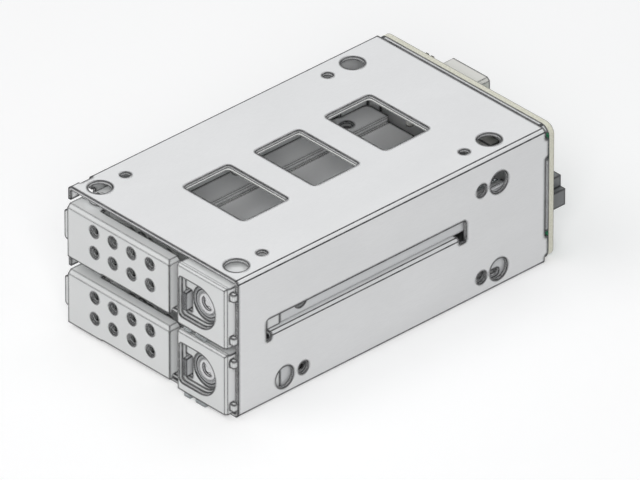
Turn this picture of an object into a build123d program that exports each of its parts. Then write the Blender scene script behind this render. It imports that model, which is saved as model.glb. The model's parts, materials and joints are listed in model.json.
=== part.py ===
from build123d import *
import math
import os

# Two-bay hot swap cage for 2.5 inch drives, in millimetres.
# X runs to the right across the front, Y from front to rear, Z up.
# The origin is the centre of the cage's bottom face.

# Standard 2.5 inch drive
drive_width = 69.85
drive_length = 100.2
drive_height = 15.0
drive_hole_front = 9.6
drive_hole_rear = 14.0
drive_hole_half_span = 30.86

# Room in front of and behind each drive, inside the cage
drive_front_room = 25.7
drive_rear_room = 6.1

# Cage sheet metal
cage_sheet = 1.2
bend_inside = 0.2
bay_room = 8.2
film_room = 0.2
side_gap = 0.8

# Roof holes and windows, measured from the cage's nearer edge
access_hole_radius = 3.78
access_hole_front = 6.5
access_hole_rear = 17.2
screw_hole_radius = 1.6
screw_hole_front = 17.35
screw_hole_rear = 28.0
window_half_width = 13.9
window_length = 19.25
window_front = 25.7
window_rear = 26.35
window_count = 3
window_corner = 1.2
film_thickness = 0.3
film_inset = 0.6
film_half_width = 29.0
film_margin = 5.0

# Side wall holes, slots and shelves
side_hole_lower = 6.9
side_hole_upper = 39.1
side_access_radius = 3.7
side_access_front = 19.8
side_access_rear = 20.1
side_screw_radius = 2.1
side_screw_rear = 27.6
slot_front = 12.1
slot_rear = 34.3
slot_height = 6.6
slot_corner = 1.2
slot_relief_depth = 1.1
slot_relief_front = 2.1
slot_relief_rear = 3.0
notch_front = 3.7
notch_rear = 8.9
wall_notch_rear = 10.4
notch_strap = 4.7
notch_bite = 1.6

# Floor plate with joggled seams
seam_gap = 0.1
seam_play = 0.3
seam_overlap = 3.2
seam_front = 20.0
seam_rear_margin = 4.0
rivet_radius = 1.0
rivet_head_radius = 1.6
rivet_head = 0.6
floor_rivet_count = 5

# Rear bracket, board and what the board carries
bracket_thickness = 1.5
bracket_low = 0.6
bracket_flange = 5.6
bracket_flange_low = 13.6
bracket_flange_high = 37.4
tab_height = 6.9
tab_low = 3.1
tab_high = 39.3
tab_play = 0.4
board_thickness = 2.2
board_low = 1.0
board_corner = 3.5
board_screw_edge = 5.4
board_screw_low = 6.0
board_screw_high = 44.6
board_screw_radius = 1.25
board_screw_head_radius = 2.4
board_screw_head = 1.6
board_screw_length = 5.2
power_edge = 22.5
power_width = 17.7
power_height = 9.6
power_top = 47.0
power_depth = 8.1
power_wall = 1.1
power_pin_width = 1.0
power_pin_count = 4
data_edge = 5.0
data_width = 20.0
data_low = 14.2
data_height = 5.95
data_key_height = 4.1
data_key_inset = 2.07
data_depth = 9.9
data_wall = 1.0
capacitor_size = 1.2
led_width = 1.6
led_height = 1.0
led_depth = 0.8
receptacle_edge = 15.625
receptacle_width = 36.3
receptacle_low = 2.05
receptacle_height = 7.4
receptacle_gap = 0.2
receptacle_post = 2.4
receptacle_nose = 3.0
receptacle_nose_height = 4.2
receptacle_slot = 1.3

# Tray pan and rails
slide_gap = 0.15
rail_wall = 1.2
rail_height = 10.25
rail_foot = 5.5
rail_slot_length = 5.5
rail_slot_height = 2.8
rail_slot_middle = 3.35
rail_slot_rear = 14.75
rail_corner = 0.55
rail_lead = 2.0
rail_hole_radius = 2.6
rail_hole_height = 4.9
rail_hole_front = 28.5
drive_gap = 0.875
pan_sheet = 0.8
pan_short = 0.6
pan_gap = 0.1
pan_bend = 0.35
pan_corner = 2.5
pan_tab_length = 3.7
pan_tab_reach = 0.8
joggle_play = 0.4
ledge_room = 0.45
ledge_hole_radius = 2.0
pan_flange_height = 12.6
pan_flange_inset = 1.6
rail_rivet_front = 30.0
rail_rivet_rear = 27.5
rail_rivet_count = 3
rail_rivet_radius = 0.9
rail_rivet_head = 0.5

# Tray front moulding
front_wall_front = 14.0
front_wall = 1.5
front_top_margin = 4.0
cheek_length = 4.0
deck = 1.4
deck_front = 0.3
arm_radius = 3.4
arm_thickness = 1.4
part_gap = 0.3
fit_gap = 0.05
housing_face = 3.5
housing_width = 22.2
housing_side_play = 0.2
housing_low_step = 0.35
housing_top_margin = 0.75
housing_wall = 1.4
housing_chamfer = 0.72
housing_step = 0.25
housing_step_back = 1.64
housing_stake_radius = 0.5
housing_stake_length = 1.3
housing_stake_low = 6.0
housing_stake_high = 16.0
pocket_left = 0.75
pocket_radius = 7.3
pocket_corner = 1.4
pocket_depth = 2.6
pocket_lip = 1.2
pocket_step = 0.45
pocket_floor = 1.5
pocket_from_lock = 0.5
pocket_under_lock = 0.2
lock_from_right = 11.7
lock_height = 10.8
lug_reach = 1.9
lug_depth = 1.75
lug_height = 2.6
lug_low = 1.75
lug_high = 17.7
lug_corner = 0.6
screw_x = 20.0
screw_height = 7.0
screw_radius = 1.1
screw_head_radius = 2.1
screw_head = 1.2
screw_length = 5.5
boss_radius = 2.4
boss_length = 4.2

# Lever
lever_end_gap = 5.2
lever_face = 2.05
lever_wall = 1.2
lever_depth = 4.85
lever_chamfer = 1.2
lever_top_margin = 3.8
lever_lip_length = 15.7
lever_lip = 0.35
pivot_inset = 5.7
pin_radius = 1.1
pin_head_radius = 1.9
pin_head = 0.8
barrel_radius = 3.1
knuckle_radius = 4.4
knuckle_back = 6.25
foot_radius = 6.2
foot_width = 3.2
foot_margin = 3.6
ear_reach = 1.96
ear_thickness = 1.4
ear_front = 1.5
ear_low = 5.65
ear_high = 16.65
ear_corner = 1.2
vent_rows_apart = 7.75
vent_first = 12.4
vent_last = 8.95
vent_high = 14.6
vent_radius = 1.25
vent_counterbore_radius = 2.0
vent_counterbore = 0.6
vent_columns = 4
rib_thickness = 0.9
tongue_reach = 3.6
tongue_low = 5.4
tongue_height = 5.0

# Release button, lock core and catch
button_radius = 5.75
button_face = 0.6
button_ring = 4.87
button_groove = 0.45
button_chamfer = 0.2
button_travel = 1.2
button_rear = 8.0
button_lug = 1.1
button_lug_width = 3.0
core_radius = 3.75
core_stem_radius = 2.9
core_shoulder = 2.35
core_slot_radius = 1.85
core_slot_width = 1.2
core_slot_depth = 0.8
core_slot_shift = 0.3
core_slot_turn = 45
tang_width = 2.0
tang_length = 6.6
tang_thickness = 1.2
catch_thickness = 1.6
catch_front = 3.6
catch_bar = 1.1
catch_nose_low = 5.3
catch_nose_height = 6.4
thumb_thickness = 1.4
thumb_reach = 6.0
thumb_slope = 0.8
wedge_reach = 2.15
wedge_height = 4.0
wedge_lead = 0.2
ramp_tail = 0.6
cover_thickness = 1.3
cover_boss_radius = 4.0
cover_boss_length = 0.9

# Springs
button_spring_radius = 4.8
button_spring_wire = 0.35
button_spring_turns = 3
catch_spring_radius = 0.5
catch_spring_wire = 0.14
catch_spring_turns = 6
wire_sides = 6
spring_flat = 0.15

# Light pipes
pipe_size = 1.5
pipe_lift = 0.05
pipe_rear_gap = 0.3
nose_front = 3.2
nose_rear = 0.25
nose_clear = 0.05
pipe_wall_gap = 0.35
pipe_pitch = 5.6
drive_nose_left = 1.5
drive_nose_width = 3.0
fault_nose_left = 1.9
fault_nose_width = 4.7

# Sizes that follow from the ones above
tray_half = drive_width / 2 + drive_gap + rail_wall
inner_half = tray_half + side_gap
cage_half = inner_half + cage_sheet
cage_width = 2 * cage_half
bay_pitch = drive_height + bay_room + cage_sheet
cage_height = cage_sheet + 2 * bay_pitch + film_room
bend_outside = bend_inside + cage_sheet
roof_under = cage_height - cage_sheet
cage_depth = drive_front_room + drive_length + drive_rear_room
front = -cage_depth / 2
rear = cage_depth / 2
drive_rear = rear - drive_rear_room
drive_hole_pitch = drive_length - drive_hole_rear - drive_hole_front
foot_inner = tray_half - rail_foot
seam_half_width = foot_inner - seam_play - seam_overlap
tray_base = cage_sheet + slide_gap
pan_top = tray_base + pan_sheet
pan_end = drive_rear - pan_short
ledge_under = 2 * cage_sheet + rivet_head + ledge_room
ledge_top = ledge_under + pan_sheet
ledge_inner = seam_half_width - cage_sheet - joggle_play - pan_sheet
front_wall_front_face = front + front_wall_front
front_wall_rear = front_wall_front_face + front_wall
pan_front = front_wall_rear + pan_gap
deck_top = tray_base + deck
housing_right = tray_half + housing_side_play
housing_left = housing_right - housing_width
lever_left = -housing_right
lever_right = housing_left - lever_end_gap
vent_pitch = (lever_right - lever_left - vent_first - vent_last) / (vent_columns - 1)
lever_low = tray_base + housing_low_step
lever_top = bay_pitch - lever_top_margin
lever_front = front - lever_face
lever_inner = lever_front + lever_wall
lever_back = lever_front + lever_depth
pivot_x = -tray_half + pivot_inset
pivot_y = front + access_hole_front
arm_low = lever_top + part_gap
arm_top = arm_low + arm_thickness
front_top = bay_pitch - front_top_margin
housing_low = lever_low
housing_top = bay_pitch - housing_top_margin
housing_front = front - housing_face
housing_rear = front_wall_front_face
pocket_floor_front = housing_front + pocket_depth
pocket_floor_rear = pocket_floor_front + pocket_floor
lock_x = housing_right - lock_from_right
lock_z = tray_base + lock_height
cavity_left = housing_left + housing_wall
cavity_right = housing_right - housing_wall
cavity_low = housing_low + housing_wall
cavity_top = housing_top - housing_wall
bracket_rear = rear + bracket_thickness
board_rear = bracket_rear + board_thickness
board_screw_x = cage_half - board_screw_edge
power_left = power_edge - cage_half
data_right = cage_half - data_edge
receptacle_left = receptacle_edge - drive_width / 2
receptacle_right = receptacle_left + receptacle_width
window_pitch = (cage_depth - window_front - window_rear - window_length) / (window_count - 1)
rail_slot_y = drive_rear - rail_slot_rear
cover_rear = housing_rear - front
cover_front = cover_rear - cover_thickness
fault_pipe_x = ledge_inner - pipe_size / 2 - pipe_wall_gap
drive_pipe_x = fault_pipe_x - pipe_pitch
bays = {"lower": 0.0, "upper": bay_pitch}


def block(x0, x1, y0, y1, z0, z1):
    """Rectangular block between two corners."""
    return Pos((x0 + x1) / 2, (y0 + y1) / 2, (z0 + z1) / 2) * Box(x1 - x0, y1 - y0, z1 - z0)


def upright(radius, x, y, z0, z1):
    """Vertical cylinder."""
    return Pos(x, y, (z0 + z1) / 2) * Cylinder(radius, z1 - z0)


def along_y(radius, x, z, y0, y1):
    """Cylinder from front to rear."""
    return Pos(x, (y0 + y1) / 2, z) * Rot(90, 0, 0) * Cylinder(radius, y1 - y0)


def along_x(radius, y, z, x0, x1):
    """Cylinder from left to right."""
    return Pos((x0 + x1) / 2, y, z) * Rot(0, 90, 0) * Cylinder(radius, x1 - x0)


def plan(outline, z0, z1):
    """Outline drawn in X and Y, standing from z0 to z1."""
    return Pos(0, 0, z0) * extrude(outline, amount=z1 - z0)


def profile_y(outline, y0, y1):
    """Outline drawn in X and Z, running from y0 to y1."""
    plane = Plane(origin=(0, y1, 0), x_dir=(1, 0, 0), z_dir=(0, -1, 0))
    return extrude(plane * outline, amount=y1 - y0)


def profile_x(outline, x0, x1):
    """Outline drawn in Y and Z, running from x0 to x1."""
    plane = Plane(origin=(x0, 0, 0), x_dir=(0, 1, 0), z_dir=(1, 0, 0))
    return extrude(plane * outline, amount=x1 - x0)


def flat(*points):
    """Flat face inside a closed outline."""
    return make_face(Polyline(*points, close=True))


def rectangle(a0, a1, b0, b1, corner=0.0):
    """Flat rectangle between two corners, with rounded corners if asked."""
    if corner:
        shape = RectangleRounded(a1 - a0, b1 - b0, corner)
    else:
        shape = Rectangle(a1 - a0, b1 - b0)
    return Pos((a0 + a1) / 2, (b0 + b1) / 2) * shape


def both_sides(solid):
    """A solid and its mirror image across the middle of the cage."""
    return solid + mirror(solid, Plane.YZ)


def coil(radius, wire, length, turns):
    """Compression spring along Z from 0, with its wire inside that length."""
    rise = length - 2 * wire
    path = Pos(0, 0, wire) * Helix(rise / turns, rise, radius)
    section = Plane(origin=path @ 0, z_dir=path % 0) * RegularPolygon(wire, wire_sides)
    return sweep(section, path=path)


def roof_holes(radius, y):
    """Pair of holes through the roof."""
    hole = upright(radius, -pivot_x, y, roof_under - 1, cage_height + 1)
    return both_sides(hole)


def side_holes(radius, y, height):
    """Pair of holes through both side walls."""
    return along_x(radius, y, height, -cage_half - 1, cage_half + 1)


def window_centre(index):
    """Y of a roof window's middle."""
    return front + window_front + window_length / 2 + index * window_pitch


def shelf():
    """Tab lanced from the right wall's slot and folded inwards as the upper tray's shelf."""
    top = cage_sheet + bay_pitch
    low = top - cage_sheet
    reach = slot_height - cage_sheet / 2
    bend = Pos(inner_half, low) * Circle(cage_sheet)
    bend &= rectangle(inner_half, cage_half, low, top)
    outline = bend + rectangle(cage_half - reach, inner_half, low, top)
    y0 = front + slot_front + slot_relief_front
    y1 = rear - slot_rear - slot_relief_rear
    return profile_y(outline, y0, y1)


def wall_slot():
    """Lanced slot through both walls, with a relief notch at each end."""
    low = bay_pitch
    y0 = front + slot_front
    y1 = rear - slot_rear
    outline = rectangle(y0, y1, low - slot_corner, low + slot_height, slot_corner)
    outline &= rectangle(y0, y1, low, low + slot_height)
    outline += rectangle(y0, y0 + slot_relief_front, low - slot_relief_depth, low)
    outline += rectangle(y1 - slot_relief_rear, y1, low - slot_relief_depth, low)
    return profile_x(outline, -cage_half - 1, cage_half + 1)


def lever_notches():
    """Openings at the left wall's front edge where the levers swing out, one for each bay."""
    cut = None
    for lift in bays.values():
        low = cage_sheet + lift
        top = low + bay_pitch - notch_strap
        piece = block(-cage_half - 1, -inner_half + fit_gap, front - 1, front + wall_notch_rear, low, top)
        cut = piece if cut is None else cut + piece
    low = cage_sheet + 2 * bay_pitch - notch_strap
    roof = (low - 1, cage_height + 1)
    cut += block(-cage_half - 1, -cage_half + notch_bite, front + notch_front, front + notch_rear, *roof)
    return cut


def wall_tabs():
    """Tabs at the walls' rear edge that reach into the bracket's notches."""
    tabs = None
    for low in (tab_low, tab_high):
        y1 = bracket_rear - tab_play / 4
        tab = both_sides(block(inner_half, cage_half, rear, y1, low, low + tab_height))
        tabs = tab if tabs is None else tabs + tab
    return tabs


def make_cage_shell():
    """Roof, side walls and floor flanges folded from one sheet."""
    outer = RectangleRounded(cage_width, cage_height, bend_outside)
    inner = RectangleRounded(2 * inner_half, cage_height - 2 * cage_sheet, bend_inside)
    shell = profile_y(Pos(0, cage_height / 2) * (outer - inner), front, rear)
    seam = seam_half_width + seam_gap
    shell -= block(-seam, seam, front - 1, rear + 1, -1, 2 * cage_sheet)
    shell -= roof_holes(access_hole_radius, front + access_hole_front)
    shell -= roof_holes(access_hole_radius, rear - access_hole_rear)
    shell -= roof_holes(screw_hole_radius, front + screw_hole_front)
    shell -= roof_holes(screw_hole_radius, rear - screw_hole_rear)
    for index in range(window_count):
        opening = RectangleRounded(2 * window_half_width, window_length, window_corner)
        shell -= Pos(0, window_centre(index), roof_under - 1) * extrude(opening, amount=2 + cage_sheet)
    shell -= wall_slot()
    shell += both_sides(shelf())
    screw_y = rear - side_screw_rear
    for height in (side_hole_lower, side_hole_upper):
        shell -= side_holes(side_access_radius, rear - side_access_rear, height)
        shell -= side_holes(side_screw_radius, screw_y, height)
    shell -= side_holes(side_access_radius, front + side_access_front, side_hole_lower)
    shell -= side_holes(side_screw_radius, screw_y - drive_hole_pitch, side_hole_lower)
    shell -= lever_notches()
    shell += wall_tabs()
    for x, y in floor_rivet_places():
        shell -= upright(rivet_radius, x, y, -1, cage_sheet + 1)
    return shell


def floor_rivet_places():
    """Middle of each floor rivet."""
    x = seam_half_width + seam_overlap / 2
    y0 = front + seam_front + 2 * rivet_head_radius
    y1 = rear - seam_rear_margin - 2 * rivet_head_radius
    step = (y1 - y0) / (floor_rivet_count - 1)
    return [(side * x, y0 + step * n) for side in (-1, 1) for n in range(floor_rivet_count)]


def make_cage_floor():
    """Floor plate whose long edges are joggled up over the shell's flanges."""
    floor = block(-seam_half_width, seam_half_width, front, rear, 0, cage_sheet)
    inner = seam_half_width - cage_sheet
    outer = seam_half_width + seam_overlap
    step = rectangle(inner, outer, cage_sheet, 2 * cage_sheet)
    corner = step.vertices().group_by(Axis.Y)[-1]
    step = fillet(corner, cage_sheet / 3)
    joggle = profile_y(step, front + seam_front, rear - seam_rear_margin)
    floor += both_sides(joggle)
    for x, y in floor_rivet_places():
        floor -= upright(rivet_radius, x, y, 0, 3 * cage_sheet)
    return floor


def make_floor_rivets():
    """Rivets through the joggled seams, flush below and domed above."""
    rivets = []
    for x, y in floor_rivet_places():
        low = 2 * cage_sheet
        shank = upright(rivet_radius, x, y, 0, low)
        head = upright(rivet_head_radius, x, y, low, low + rivet_head)
        head = chamfer(head.edges().group_by(Axis.Z)[-1], rivet_head / 2)
        rivets.append(shank + head)
    return rivets


def make_insulation_film():
    """Thin film under the roof, with windows a little smaller than the roof's."""
    y0 = window_centre(0) - window_length / 2 - film_margin
    y1 = window_centre(window_count - 1) + window_length / 2 + film_margin
    film = block(-film_half_width, film_half_width, y0, y1, roof_under - film_thickness, roof_under)
    for index in range(window_count):
        width = 2 * (window_half_width - film_inset)
        opening = RectangleRounded(width, window_length - 2 * film_inset, window_corner)
        film -= Pos(0, window_centre(index), roof_under - 1) * extrude(opening, amount=2)
    return film


def board_screw_places():
    """Middle of each board screw across the back."""
    heights = (board_screw_low, board_screw_high)
    return [(side * board_screw_x, z) for side in (-1, 1) for z in heights]


def receptacle_window(lift):
    """Outline of the opening that one drive receptacle passes through."""
    low = tray_base + receptacle_low + lift
    return (receptacle_left - 1, receptacle_right + 1, low - 1, low + receptacle_height + 1)


def make_rear_bracket():
    """Plate behind the cage with side flanges, notched for the wall tabs."""
    outline = rectangle(-cage_half, cage_half, bracket_low, cage_height, board_corner)
    for low in (tab_low, tab_high):
        z0 = low - tab_play
        z1 = low + tab_height + 5 * tab_play
        notch = rectangle(inner_half - tab_play / 2, cage_half + 1, z0, z1)
        outline -= notch + mirror(notch, Plane.YZ)
    for lift in bays.values():
        outline -= rectangle(*receptacle_window(lift), window_corner)
    bracket = profile_y(outline, rear, bracket_rear)
    y0 = rear - bracket_flange
    flange = block(inner_half - cage_sheet, inner_half, y0, rear, bracket_flange_low, bracket_flange_high)
    flange = fillet(flange.edges().filter_by(Axis.X).group_by(Axis.Y)[0], 1.5)
    bracket += both_sides(flange)
    for x, z in board_screw_places():
        bracket -= along_y(board_screw_radius, x, z, rear - 1, bracket_rear + 1)
    return bracket


def make_backplane_board():
    """Circuit board behind the bracket."""
    outline = rectangle(-cage_half, cage_half, board_low, cage_height, board_corner)
    board = profile_y(outline, bracket_rear, board_rear)
    for x, z in board_screw_places():
        board -= along_y(board_screw_radius, x, z, bracket_rear - 1, board_rear + 1)
    return board


def make_board_screws():
    """Four pan-head screws that hold the board to the bracket."""
    screws = []
    for x, z in board_screw_places():
        shank = along_y(board_screw_radius, x, z, board_rear - board_screw_length, board_rear)
        head = along_y(board_screw_head_radius, x, z, board_rear, board_rear + board_screw_head)
        head = chamfer(head.edges().group_by(Axis.Y)[-1], board_screw_head / 3)
        head -= along_y(board_screw_head_radius / 3, x, z, board_rear + board_screw_head / 2, board_rear + 3)
        screws.append(shank + head)
    return screws


def make_power_connector():
    """Power socket on the board's rear face, open to the rear."""
    x1 = power_left + power_width
    z0 = power_top - power_height
    body = block(power_left, x1, board_rear, board_rear + power_depth, z0, power_top)
    body = chamfer(body.edges().filter_by(Axis.Y).group_by(Axis.Z)[-1], 1.0)
    inside = rectangle(power_left + power_wall, x1 - power_wall, z0 + power_wall, power_top - power_wall, 0.6)
    body -= profile_y(inside, board_rear + power_wall, board_rear + power_depth + 1)
    key = rectangle(power_left + power_width / 3, power_left + power_width * 2 / 3, z0 - 1, z0 + 2)
    body -= profile_y(key, board_rear + power_depth / 2, board_rear + power_depth + 1)
    return body


def make_power_pins():
    """Row of pins inside the power socket."""
    pitch = (power_width - 2 * power_wall) / power_pin_count
    z = power_top - power_height / 2
    half = power_pin_width / 2
    pins = []
    for n in range(power_pin_count):
        x = power_left + power_wall + pitch * (n + 0.5)
        y1 = board_rear + power_depth - 1.5
        pin = block(x - half, x + half, board_rear + power_wall, y1, z - half, z + half)
        pins.append(chamfer(pin.faces().sort_by(Axis.Y)[-1].edges(), half / 2))
    return pins


def make_data_connector():
    """Data socket with a narrower key block on top, open to the rear."""
    x0 = data_right - data_width
    z1 = data_low + data_height
    z2 = z1 + data_key_height
    y1 = board_rear + data_depth
    body = block(x0, data_right, board_rear, y1, data_low, z1)
    body += block(x0 + data_key_inset, data_right - data_key_inset, board_rear, y1, z1, z2)
    inside = rectangle(x0 + data_wall, data_right - data_wall, data_low + data_wall, z1 - data_wall, 0.4)
    body -= profile_y(inside, board_rear + data_wall, y1 + 1)
    inset = 3 * data_key_inset
    latch = rectangle(x0 + inset, data_right - inset, z1 + data_wall, z2 - data_wall)
    body -= profile_y(latch, board_rear + data_depth / 2, y1 + 1)
    return body


def make_data_tongue():
    """Contact tongue inside the data socket."""
    x0 = data_right - data_width
    z = data_low + data_height / 2
    y1 = board_rear + data_depth - 2
    tongue = block(x0 + 2.5, data_right - 2.5, board_rear + data_wall, y1, z - 0.5, z + 0.5)
    return chamfer(tongue.edges().filter_by(Axis.X).group_by(Axis.Y)[-1], 0.3)


def make_board_capacitors():
    """Two small parts beside the power socket at the board's upper edge."""
    parts = []
    for n in (1, 2):
        x = power_left - 2.0 * capacitor_size * n + capacitor_size / 2
        z = cage_height - capacitor_size
        parts.append(block(x, x + capacitor_size, board_rear, board_rear + capacitor_size,
                           z - capacitor_size / 2, z + capacitor_size / 2))
    return parts


def make_status_leds():
    """Light sources on the board's front face, in line with the light pipes."""
    leds = []
    z = pan_top + pipe_lift + pipe_size / 2
    for lift in bays.values():
        for x in (drive_pipe_x, fault_pipe_x):
            leds.append(block(x - led_width / 2, x + led_width / 2, bracket_rear - led_depth, bracket_rear,
                              z + lift - led_height / 2, z + lift + led_height / 2))
    return leds


def led_window(lift):
    """Outline of the bracket's opening for one bay's light sources."""
    z = pan_top + pipe_lift + pipe_size / 2 + lift
    x0 = drive_pipe_x - led_width
    x1 = fault_pipe_x + led_width
    return (x0, x1, z - led_height, z + led_height)


def make_receptacle():
    """Drive receptacle of the lower bay, with a slotted nose between two guide posts."""
    z0 = tray_base + receptacle_low
    z1 = z0 + receptacle_height
    y0 = drive_rear + receptacle_gap
    y1 = y0 + receptacle_nose
    body = block(receptacle_left, receptacle_right, y1, bracket_rear, z0, z1)
    nose_left = receptacle_left + receptacle_post + part_gap
    nose_right = receptacle_right - receptacle_post - part_gap
    middle = (z0 + z1) / 2
    half = receptacle_nose_height / 2
    nose = block(nose_left, nose_right, y0, y1, middle - half, middle + half)
    nose = chamfer(nose.faces().sort_by(Axis.Y)[0].edges(), 0.5)
    slot_right = nose_right - 1.5
    slot = rectangle(nose_left + 1.5, slot_right, middle - receptacle_slot / 2, middle + receptacle_slot / 2)
    slot += rectangle(slot_right - receptacle_slot, slot_right, middle - receptacle_slot / 2, middle + 1.4)
    nose -= profile_y(slot, y0 - 1, y1 - 0.6)
    body += nose
    for x0 in (receptacle_left, receptacle_right - receptacle_post):
        post = block(x0, x0 + receptacle_post, y0, y1, z0, middle + 1)
        body += fillet(post.edges().filter_by(Axis.Z).group_by(Axis.Y)[0], 0.9)
    return body


def make_tray_pan():
    """Stamped pan with a raised ledge along each side and a turned-up front flange."""
    outer = tray_half - rail_wall - pan_gap
    face = flat(
        (0, tray_base), (ledge_inner + pan_sheet, tray_base),
        (ledge_inner + pan_sheet, ledge_under), (outer, ledge_under),
        (outer, ledge_top), (ledge_inner, ledge_top),
        (ledge_inner, pan_top), (0, pan_top))
    bends = face.vertices().filter_by(lambda v: abs(v.X - ledge_inner) < 1.5 * pan_sheet)
    face = fillet(bends, pan_bend)
    pan = both_sides(profile_y(face, pan_front, pan_end))
    y_rear = drive_rear - drive_hole_rear
    for y in (y_rear - drive_hole_pitch, y_rear):
        pan -= both_sides(upright(ledge_hole_radius, drive_hole_half_span, y, 0, ledge_top + 1))
    x0 = -ledge_inner + pan_flange_inset
    x1 = housing_left - 1
    top = tray_base + pan_flange_height
    flange = rectangle(x0, x1, tray_base, top, pan_corner)
    flange += rectangle(x0, x1, tray_base, top - pan_corner)
    pan += profile_y(flange, pan_front, pan_front + pan_sheet)
    for x in front_screw_places():
        pan -= along_y(screw_radius, x, tray_base + screw_height, pan_front - 1, pan_front + 2)
    for x, y in rail_rivet_centres():
        pan -= rail_rivet(x, y)
    corner = block(outer - pan_corner, outer + 1, pan_end - pan_corner, pan_end + 1, 0, bay_pitch)
    corner -= upright(pan_corner, outer - pan_corner, pan_end - pan_corner, 0, bay_pitch)
    pan -= both_sides(corner)
    y0 = rail_slot_y - pan_tab_length / 2
    y1 = rail_slot_y + pan_tab_length / 2
    return pan + both_sides(block(outer - 1, outer + pan_tab_reach, y0, y1, ledge_under, ledge_top))


def front_screw_places():
    """Where the two screws join the pan's flange to the moulded front."""
    return (-screw_x, housing_left - screw_x / 2)


def rail_rivet_centres():
    """Middle of each rivet that holds a rail under the ledge."""
    x = (foot_inner + tray_half - rail_wall) / 2
    y0 = front + rail_rivet_front
    step = (rear - rail_rivet_rear - y0) / (rail_rivet_count - 1)
    return [(side * x, y0 + step * n) for side in (-1, 1) for n in range(rail_rivet_count)]


def rail_rivet(x, y):
    """Rivet with a flush countersunk head in the ledge."""
    low = ledge_top - rail_rivet_head
    shank = upright(rail_rivet_radius, x, y, tray_base + part_gap, low)
    cone = Cone(rail_rivet_radius, 2 * rail_rivet_radius, rail_rivet_head)
    return shank + Pos(x, y, low + rail_rivet_head / 2) * cone


def make_right_rail():
    """Moulded slide rail with a foot under the pan's ledge."""
    web_inner = tray_half - rail_wall
    face = flat(
        (foot_inner, tray_base), (tray_half, tray_base), (tray_half, tray_base + rail_height),
        (web_inner, tray_base + rail_height), (web_inner, ledge_under), (foot_inner, ledge_under))
    outer_corners = face.vertices().group_by(Axis.X)[-1]
    face = fillet(outer_corners, rail_corner)
    y0 = front_wall_rear + cheek_length + pan_gap
    y1 = pan_end
    rail = profile_y(face, y0, y1)
    lead = flat((tray_half + 1, y1 + 1), (tray_half + 1, y1 - rail_lead - 1), (tray_half - rail_wall, y1 + 1))
    rail -= plan(lead, 0, bay_pitch)
    for place in (rail_hole_front, rail_hole_front + drive_hole_pitch):
        height = tray_base + rail_hole_height
        rail -= along_x(rail_hole_radius, front + place, height, web_inner - 1, tray_half + 1)
    for x, y in rail_rivet_centres():
        rail -= rail_rivet(x, y)
    slot = Pos(rail_slot_y, tray_base + rail_slot_middle) * SlotOverall(rail_slot_length, rail_slot_height)
    rail -= profile_x(slot, web_inner - fit_gap, tray_half + 1)
    y_rear = drive_rear - drive_hole_rear
    for y in (y_rear - drive_hole_pitch, y_rear):
        rail -= upright(1.5 * ledge_hole_radius, drive_hole_half_span, y, 0, ledge_under + 1)
    return rail


def pocket_outline(inset=0.0):
    """D-shaped finger pocket: straight on the left, round on the right, where the lock is."""
    radius = pocket_radius - inset
    left = housing_left + pocket_left + inset
    x = lock_x - pocket_from_lock
    z = lock_z - pocket_under_lock
    box = rectangle(left, x, z - radius, z + radius)
    box = fillet(box.vertices().group_by(Axis.X)[0], pocket_corner - inset / 2)
    return box + Pos(x, z) * Circle(radius)


def pipe_groove(x):
    """Groove in the underside of the housing and the tray front that holds one light pipe."""
    half = pipe_size / 2 + fit_gap
    y0 = front - nose_front + 0.75
    top = pan_top + pipe_lift + pipe_size + fit_gap
    return block(x - half, x + half, y0, front_wall_rear + 1, 0, top)


def housing_stakes(radius):
    """Stakes behind the housing's left wall, heat-set in the tray front."""
    x = housing_left + housing_wall / 2
    low = along_y(radius, x, tray_base + housing_stake_low, housing_rear, housing_rear + housing_stake_length)
    return low + Pos(0, 0, housing_stake_high - housing_stake_low) * low


def make_latch_housing():
    """Latch housing in front of the tray front's wall, with a finger pocket and a hollow rear."""
    body = block(housing_left, housing_right, housing_front, housing_rear, housing_low, housing_top)
    face_edges = body.faces().sort_by(Axis.Y)[0].edges()
    top_edge = face_edges.group_by(Axis.Z)[-1]
    right_edge = face_edges.group_by(Axis.X)[-1]
    body = chamfer(top_edge + right_edge, housing_chamfer)
    step_front = housing_front + housing_step_back
    body -= block(housing_left - 1, housing_right + 1, step_front, housing_rear + 1,
                  housing_top - housing_step, housing_top + 1)
    body -= profile_y(pocket_outline(), housing_front - 1, housing_front + pocket_lip)
    body -= profile_y(pocket_outline(pocket_step), housing_front - 1, pocket_floor_front)
    body -= block(cavity_left, cavity_right, pocket_floor_rear, housing_rear + 1, cavity_low, cavity_top)
    body -= along_y(button_radius + fit_gap, lock_x, lock_z, pocket_floor_front - 1, pocket_floor_rear + 1)
    low = tray_base + catch_nose_low
    high = low + catch_nose_height
    thumb_right = cavity_left + thumb_thickness + button_travel + 3 * fit_gap
    body -= block(cavity_left, thumb_right, pocket_floor_front - 1, pocket_floor_rear + 1,
                  low - part_gap, high + thumb_slope + part_gap)
    body -= block(housing_left - 1, cavity_left + 1, front + catch_front - part_gap / 2,
                  front + catch_front + catch_thickness + part_gap / 2, low - part_gap, high + part_gap)
    for height in (lug_low, lug_high):
        body += stop_lug(height)
    for x in (drive_pipe_x, fault_pipe_x):
        body -= pipe_groove(x)
    return body + housing_stakes(housing_stake_radius)


def stop_lug(height):
    """Lug on the housing's right side that stops against the wall's front edge."""
    y1 = front - slide_gap
    outline = rectangle(housing_right - 1, housing_right + lug_reach, y1 - lug_depth, y1)
    corner = outline.vertices().group_by(Axis.X)[-1].sort_by(Axis.Y)[0]
    outline = fillet(corner, lug_corner)
    return plan(outline, tray_base + height, tray_base + height + lug_height)


def vent_places():
    """Middle of each vent hole of the lever, as X and Z."""
    x0 = lever_left + vent_first
    high = lever_low + vent_high - lever_lip
    rows = (high, high - vent_rows_apart)
    return [(x0 + vent_pitch * n, z) for n in range(vent_columns) for z in rows]


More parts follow.
